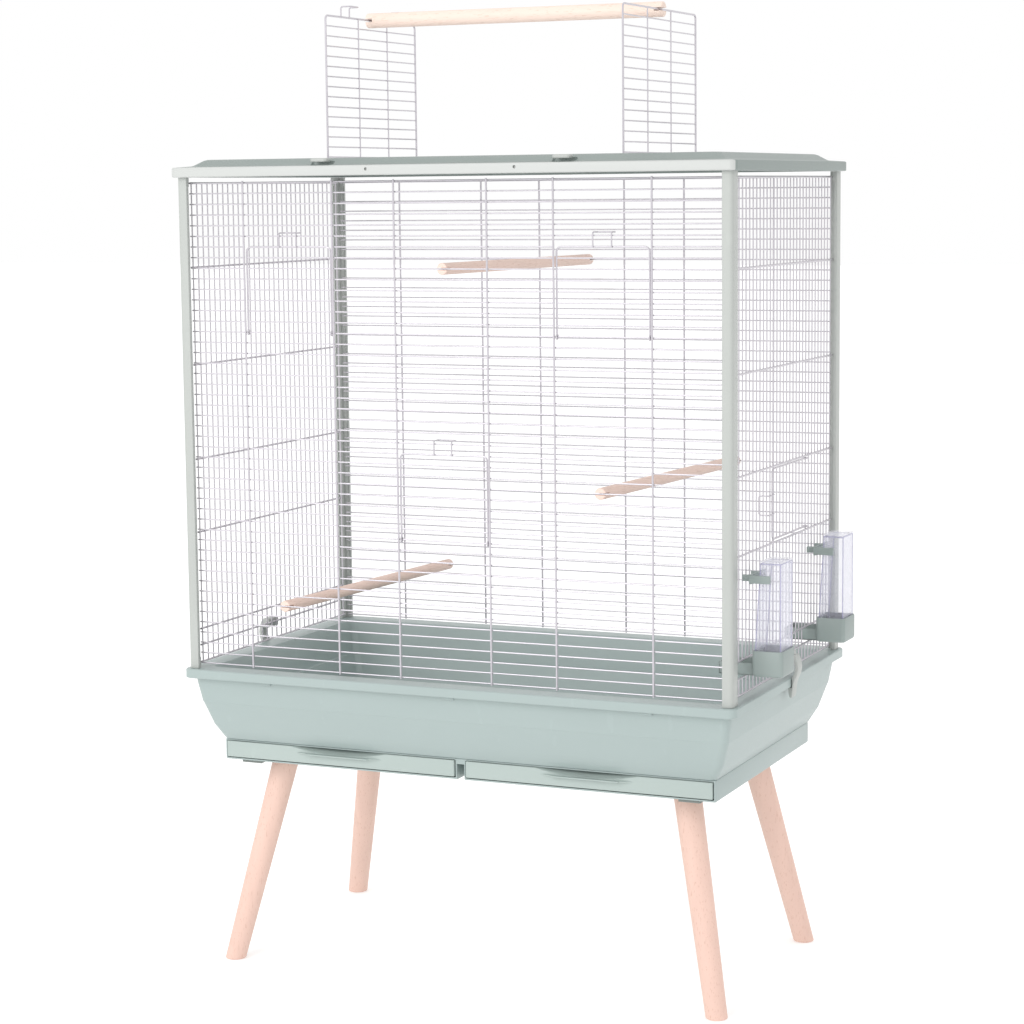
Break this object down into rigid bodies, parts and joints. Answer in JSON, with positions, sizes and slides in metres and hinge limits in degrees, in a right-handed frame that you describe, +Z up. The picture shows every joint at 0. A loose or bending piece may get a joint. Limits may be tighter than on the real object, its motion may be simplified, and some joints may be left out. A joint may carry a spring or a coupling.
{
  "type": "bird cage on stand",
  "caption": "Rectangular wire bird cage with a deep plastic tray, pull-out drawers, roof flaps holding a top perch, feeders, on splayed wooden legs.",
  "frame": {"origin": "on the floor under the middle of the bounding box", "axes": "+Z up, +X to the viewer's right along the long side, -Y out of the front with the doors and drawers"},
  "size_m": [0.8374, 0.4692, 1.2939],
  "materials": {
    "sage_plastic": "satin sage green moulded plastic",
    "drawer_plastic": "satin sage green moulded plastic",
    "pale_plastic": "satin pale green moulded plastic",
    "beech": "smooth unvarnished beech",
    "wire": "satin coated steel wire",
    "clear_plastic": "clear moulded plastic"
  },
  "bodies": {
    "cage": {"back_wires": "wire", "drawer_housing": "drawer_plastic", "feeder_clip_front": "sage_plastic", "feeder_clip_rear": "sage_plastic", "feeder_cup_front": "sage_plastic", "feeder_cup_rear": "sage_plastic", "front_wires": "wire", "left_wires": "wire", "leg_back_left": "beech", "leg_back_right": "beech", "leg_front_left": "beech", "leg_front_right": "beech", "pad_back_left": "sage_plastic", "pad_back_right": "sage_plastic", "pad_front_left": "sage_plastic", "pad_front_right": "sage_plastic", "post_back_left": "pale_plastic", "post_back_right": "pale_plastic", "post_front_left": "pale_plastic", "post_front_right": "pale_plastic", "right_wires": "wire", "roof_frame": "sage_plastic", "roof_wires": "wire", "tray": "sage_plastic", "tray_clip_bracket_left": "sage_plastic", "tray_clip_bracket_right": "sage_plastic"},
    "drawer_left": {"drawer_left": "drawer_plastic"},
    "drawer_right": {"drawer_right": "drawer_plastic"},
    "door_upper_left": {"door_upper_left": "wire"},
    "door_upper_right": {"door_upper_right": "wire"},
    "door_lower": {"door_lower": "wire"},
    "side_door": {"side_door": "wire"},
    "roof_flap_left": {"roof_flap_left": "wire"},
    "roof_flap_right": {"roof_flap_right": "wire"},
    "top_perch": {"top_perch": "beech"},
    "perch_upper": {"perch_upper": "beech"},
    "perch_middle": {"perch_middle": "beech"},
    "perch_lower": {"perch_lower": "beech"},
    "tray_clip_left": {"tray_clip_left": "sage_plastic"},
    "tray_clip_right": {"tray_clip_right": "sage_plastic"},
    "feeder_reservoir_front": {"feeder_reservoir_front": "clear_plastic"},
    "feeder_lid_front": {"feeder_lid_front": "clear_plastic"},
    "feeder_reservoir_rear": {"feeder_reservoir_rear": "clear_plastic"},
    "feeder_lid_rear": {"feeder_lid_rear": "clear_plastic"},
    "roof_clip_front_left": {"roof_clip_front_left": "pale_plastic"},
    "roof_clip_front_right": {"roof_clip_front_right": "pale_plastic"},
    "roof_clip_back_left": {"roof_clip_back_left": "pale_plastic"},
    "roof_clip_back_right": {"roof_clip_back_right": "pale_plastic"}
  },
  "joints": [
    {"name": "drawer_left_slide", "type": "slide", "parent": "cage", "child": "drawer_left", "axis": [0, -1, 0], "range_m": [0, 0.28]},
    {"name": "drawer_right_slide", "type": "slide", "parent": "cage", "child": "drawer_right", "axis": [0, -1, 0], "range_m": [0, 0.28]},
    {"name": "door_upper_left_hinge", "type": "hinge", "parent": "cage", "child": "door_upper_left", "pos_m": [-0.24465, -0.2147, 0.8654], "axis": [1, 0, 0], "range_deg": [0, 160]},
    {"name": "door_upper_right_hinge", "type": "hinge", "parent": "cage", "child": "door_upper_right", "pos_m": [0.19725, -0.2147, 0.8654], "axis": [1, 0, 0], "range_deg": [0, 160]},
    {"name": "door_lower_hinge", "type": "hinge", "parent": "cage", "child": "door_lower", "pos_m": [-0.02455, -0.2147, 0.5994], "axis": [1, 0, 0], "range_deg": [0, 160]},
    {"name": "side_door_hinge", "type": "hinge", "parent": "cage", "child": "side_door", "pos_m": [0.36195, 0.0959, 0.6435], "axis": [0, 0, 1], "range_deg": [0, 72]},
    {"name": "roof_flap_left_hinge", "type": "hinge", "parent": "cage", "child": "roof_flap_left", "pos_m": [-0.22625, 0, 1.08], "axis": [0, 1, 0], "range_deg": [-25, 25]},
    {"name": "roof_flap_right_hinge", "type": "hinge", "parent": "cage", "child": "roof_flap_right", "pos_m": [0.19375, 0, 1.08], "axis": [0, 1, 0], "range_deg": [-25, 25]},
    {"name": "top_perch_hinge", "type": "hinge", "parent": "roof_flap_left", "child": "top_perch", "pos_m": [-0.22625, 0, 1.279], "axis": [0, 1, 0], "range_deg": [-25, 25]},
    {"name": "perch_upper_slide", "type": "slide", "parent": "cage", "child": "perch_upper", "axis": [1, 0, 0], "range_m": [-0.03, 0.03]},
    {"name": "perch_middle_slide", "type": "slide", "parent": "cage", "child": "perch_middle", "axis": [1, 0, 0], "range_m": [-0.03, 0.03]},
    {"name": "perch_lower_slide", "type": "slide", "parent": "cage", "child": "perch_lower", "axis": [1, 0, 0], "range_m": [-0.03, 0.03]},
    {"name": "tray_clip_left_hinge", "type": "hinge", "parent": "cage", "child": "tray_clip_left", "pos_m": [-0.41245, 0, 0.4385], "axis": [0, 1, 0], "range_deg": [0, 40]},
    {"name": "tray_clip_right_hinge", "type": "hinge", "parent": "cage", "child": "tray_clip_right", "pos_m": [0.37995, 0, 0.4385], "axis": [0, -1, 0], "range_deg": [0, 40]},
    {"name": "feeder_reservoir_front_lift", "type": "slide", "parent": "cage", "child": "feeder_reservoir_front", "axis": [0, 0, 1], "range_m": [0, 0.12]},
    {"name": "feeder_lid_front_lift", "type": "slide", "parent": "feeder_reservoir_front", "child": "feeder_lid_front", "axis": [0, 0, 1], "range_m": [0, 0.03]},
    {"name": "feeder_reservoir_rear_lift", "type": "slide", "parent": "cage", "child": "feeder_reservoir_rear", "axis": [0, 0, 1], "range_m": [0, 0.12]},
    {"name": "feeder_lid_rear_lift", "type": "slide", "parent": "feeder_reservoir_rear", "child": "feeder_lid_rear", "axis": [0, 0, 1], "range_m": [0, 0.03]},
    {"name": "roof_clip_front_left_hinge", "type": "hinge", "parent": "cage", "child": "roof_clip_front_left", "pos_m": [-0.19275, -0.2115, 1.0866], "axis": [-1, 0, 0], "range_deg": [0, 20]},
    {"name": "roof_clip_front_right_hinge", "type": "hinge", "parent": "cage", "child": "roof_clip_front_right", "pos_m": [0.14625, -0.2115, 1.0866], "axis": [-1, 0, 0], "range_deg": [0, 20]},
    {"name": "roof_clip_back_left_hinge", "type": "hinge", "parent": "cage", "child": "roof_clip_back_left", "pos_m": [-0.19275, 0.2115, 1.0866], "axis": [1, 0, 0], "range_deg": [0, 20]},
    {"name": "roof_clip_back_right_hinge", "type": "hinge", "parent": "cage", "child": "roof_clip_back_right", "pos_m": [0.14625, 0.2115, 1.0866], "axis": [1, 0, 0], "range_deg": [0, 20]}
  ],
  "couplings": [
    {"joint": "roof_flap_right_hinge", "follows": "roof_flap_left_hinge", "ratio": 1},
    {"joint": "top_perch_hinge", "follows": "roof_flap_left_hinge", "ratio": -1}
  ]
}
